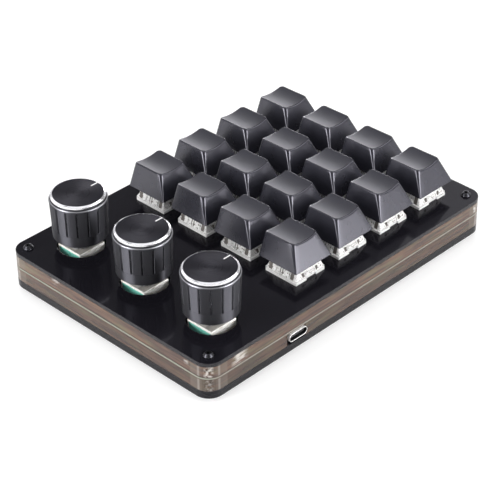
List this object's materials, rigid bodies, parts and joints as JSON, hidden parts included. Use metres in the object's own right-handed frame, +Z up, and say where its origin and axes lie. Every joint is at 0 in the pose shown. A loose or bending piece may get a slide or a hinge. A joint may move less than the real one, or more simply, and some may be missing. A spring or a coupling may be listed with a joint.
{
  "type": "macro keypad with knobs",
  "caption": "Low desk keypad of stacked acrylic layers, with a square field of sprung keys beside a row of fluted knobs that turn and push, and a USB-C socket in its near edge.",
  "frame": {"origin": "middle of the part's box, on the surface that its feet stand on", "axes": "+X from the knobs to the last key column, +Y away from the USB-C side, +Z up"},
  "size_m": [0.144, 0.102, 0.0381],
  "materials": {
    "dark_acrylic": "polished, laser cut edges",
    "clear_acrylic": "clear with a brown cast, cut edges",
    "circuit_board": "glass fibre board, pale cut edge",
    "rubber": "moulded",
    "pillar_metal": "turned and plated",
    "screw_metal": "blackened",
    "sheet_metal": "stamped and plated",
    "black_plastic": "moulded",
    "switch_plastic": "moulded, milky clear",
    "contact_metal": "stamped",
    "spring_steel": "drawn wire",
    "encoder_plastic": "moulded",
    "keycap_plastic": "fine texture",
    "stem_plastic": "moulded",
    "knob_aluminium": "turned and anodised",
    "shaft_metal": "turned"
  },
  "bodies": {
    "case": {"bottom_plate": "dark_acrylic", "lower_frame": "clear_acrylic", "circuit_board": "circuit_board", "upper_frame": "clear_acrylic", "top_plate": "dark_acrylic", "rubber_feet": "rubber", "corner_pillars": "pillar_metal", "corner_screws": "screw_metal", "usb_c_shell": "sheet_metal", "usb_c_tongue": "black_plastic", "board_chips": "black_plastic", "switch_bases": "switch_plastic", "switch_covers": "switch_plastic", "switch_contacts": "contact_metal", "switch_springs": "spring_steel", "encoder_bodies": "encoder_plastic", "encoder_frames": "sheet_metal", "encoder_bushings": "sheet_metal", "encoder_pins": "contact_metal"},
    "key_r1_c1": {"keycap_r1_c1": "keycap_plastic", "key_stem_r1_c1": "stem_plastic"},
    "key_r1_c2": {"keycap_r1_c2": "keycap_plastic", "key_stem_r1_c2": "stem_plastic"},
    "key_r1_c3": {"keycap_r1_c3": "keycap_plastic", "key_stem_r1_c3": "stem_plastic"},
    "key_r1_c4": {"keycap_r1_c4": "keycap_plastic", "key_stem_r1_c4": "stem_plastic"},
    "key_r2_c1": {"keycap_r2_c1": "keycap_plastic", "key_stem_r2_c1": "stem_plastic"},
    "key_r2_c2": {"keycap_r2_c2": "keycap_plastic", "key_stem_r2_c2": "stem_plastic"},
    "key_r2_c3": {"keycap_r2_c3": "keycap_plastic", "key_stem_r2_c3": "stem_plastic"},
    "key_r2_c4": {"keycap_r2_c4": "keycap_plastic", "key_stem_r2_c4": "stem_plastic"},
    "key_r3_c1": {"keycap_r3_c1": "keycap_plastic", "key_stem_r3_c1": "stem_plastic"},
    "key_r3_c2": {"keycap_r3_c2": "keycap_plastic", "key_stem_r3_c2": "stem_plastic"},
    "key_r3_c3": {"keycap_r3_c3": "keycap_plastic", "key_stem_r3_c3": "stem_plastic"},
    "key_r3_c4": {"keycap_r3_c4": "keycap_plastic", "key_stem_r3_c4": "stem_plastic"},
    "key_r4_c1": {"keycap_r4_c1": "keycap_plastic", "key_stem_r4_c1": "stem_plastic"},
    "key_r4_c2": {"keycap_r4_c2": "keycap_plastic", "key_stem_r4_c2": "stem_plastic"},
    "key_r4_c3": {"keycap_r4_c3": "keycap_plastic", "key_stem_r4_c3": "stem_plastic"},
    "key_r4_c4": {"keycap_r4_c4": "keycap_plastic", "key_stem_r4_c4": "stem_plastic"},
    "press_1": {"encoder_plunger_1": "black_plastic"},
    "dial_1": {"knob_1": "knob_aluminium", "encoder_shaft_1": "shaft_metal"},
    "press_2": {"encoder_plunger_2": "black_plastic"},
    "dial_2": {"knob_2": "knob_aluminium", "encoder_shaft_2": "shaft_metal"},
    "press_3": {"encoder_plunger_3": "black_plastic"},
    "dial_3": {"knob_3": "knob_aluminium", "encoder_shaft_3": "shaft_metal"}
  },
  "joints": [
    {"name": "key_press_r1_c1", "type": "slide", "parent": "case", "child": "key_r1_c1", "axis": [0, 0, -1], "range_m": [0, 0.004], "stiffness_N_per_m": 75, "springref_m": -0.004, "deforming": ["switch_springs"]},
    {"name": "key_press_r1_c2", "type": "slide", "parent": "case", "child": "key_r1_c2", "axis": [0, 0, -1], "range_m": [0, 0.004], "stiffness_N_per_m": 75, "springref_m": -0.004, "deforming": ["switch_springs"]},
    {"name": "key_press_r1_c3", "type": "slide", "parent": "case", "child": "key_r1_c3", "axis": [0, 0, -1], "range_m": [0, 0.004], "stiffness_N_per_m": 75, "springref_m": -0.004, "deforming": ["switch_springs"]},
    {"name": "key_press_r1_c4", "type": "slide", "parent": "case", "child": "key_r1_c4", "axis": [0, 0, -1], "range_m": [0, 0.004], "stiffness_N_per_m": 75, "springref_m": -0.004, "deforming": ["switch_springs"]},
    {"name": "key_press_r2_c1", "type": "slide", "parent": "case", "child": "key_r2_c1", "axis": [0, 0, -1], "range_m": [0, 0.004], "stiffness_N_per_m": 75, "springref_m": -0.004, "deforming": ["switch_springs"]},
    {"name": "key_press_r2_c2", "type": "slide", "parent": "case", "child": "key_r2_c2", "axis": [0, 0, -1], "range_m": [0, 0.004], "stiffness_N_per_m": 75, "springref_m": -0.004, "deforming": ["switch_springs"]},
    {"name": "key_press_r2_c3", "type": "slide", "parent": "case", "child": "key_r2_c3", "axis": [0, 0, -1], "range_m": [0, 0.004], "stiffness_N_per_m": 75, "springref_m": -0.004, "deforming": ["switch_springs"]},
    {"name": "key_press_r2_c4", "type": "slide", "parent": "case", "child": "key_r2_c4", "axis": [0, 0, -1], "range_m": [0, 0.004], "stiffness_N_per_m": 75, "springref_m": -0.004, "deforming": ["switch_springs"]},
    {"name": "key_press_r3_c1", "type": "slide", "parent": "case", "child": "key_r3_c1", "axis": [0, 0, -1], "range_m": [0, 0.004], "stiffness_N_per_m": 75, "springref_m": -0.004, "deforming": ["switch_springs"]},
    {"name": "key_press_r3_c2", "type": "slide", "parent": "case", "child": "key_r3_c2", "axis": [0, 0, -1], "range_m": [0, 0.004], "stiffness_N_per_m": 75, "springref_m": -0.004, "deforming": ["switch_springs"]},
    {"name": "key_press_r3_c3", "type": "slide", "parent": "case", "child": "key_r3_c3", "axis": [0, 0, -1], "range_m": [0, 0.004], "stiffness_N_per_m": 75, "springref_m": -0.004, "deforming": ["switch_springs"]},
    {"name": "key_press_r3_c4", "type": "slide", "parent": "case", "child": "key_r3_c4", "axis": [0, 0, -1], "range_m": [0, 0.004], "stiffness_N_per_m": 75, "springref_m": -0.004, "deforming": ["switch_springs"]},
    {"name": "key_press_r4_c1", "type": "slide", "parent": "case", "child": "key_r4_c1", "axis": [0, 0, -1], "range_m": [0, 0.004], "stiffness_N_per_m": 75, "springref_m": -0.004, "deforming": ["switch_springs"]},
    {"name": "key_press_r4_c2", "type": "slide", "parent": "case", "child": "key_r4_c2", "axis": [0, 0, -1], "range_m": [0, 0.004], "stiffness_N_per_m": 75, "springref_m": -0.004, "deforming": ["switch_springs"]},
    {"name": "key_press_r4_c3", "type": "slide", "parent": "case", "child": "key_r4_c3", "axis": [0, 0, -1], "range_m": [0, 0.004], "stiffness_N_per_m": 75, "springref_m": -0.004, "deforming": ["switch_springs"]},
    {"name": "key_press_r4_c4", "type": "slide", "parent": "case", "child": "key_r4_c4", "axis": [0, 0, -1], "range_m": [0, 0.004], "stiffness_N_per_m": 75, "springref_m": -0.004, "deforming": ["switch_springs"]},
    {"name": "knob_push_1", "type": "slide", "parent": "case", "child": "press_1", "axis": [0, 0, -1], "range_m": [0, 0.0005], "stiffness_N_per_m": 800, "springref_m": -0.002},
    {"name": "knob_turn_1", "type": "hinge", "parent": "press_1", "child": "dial_1", "pos_m": [-0.052, -0.0315, 0.021], "axis": [0, 0, 1], "continuous": true},
    {"name": "knob_push_2", "type": "slide", "parent": "case", "child": "press_2", "axis": [0, 0, -1], "range_m": [0, 0.0005], "stiffness_N_per_m": 800, "springref_m": -0.002},
    {"name": "knob_turn_2", "type": "hinge", "parent": "press_2", "child": "dial_2", "pos_m": [-0.052, 0.0015, 0.021], "axis": [0, 0, 1], "continuous": true},
    {"name": "knob_push_3", "type": "slide", "parent": "case", "child": "press_3", "axis": [0, 0, -1], "range_m": [0, 0.0005], "stiffness_N_per_m": 800, "springref_m": -0.002},
    {"name": "knob_turn_3", "type": "hinge", "parent": "press_3", "child": "dial_3", "pos_m": [-0.052, 0.0345, 0.021], "axis": [0, 0, 1], "continuous": true}
  ]
}
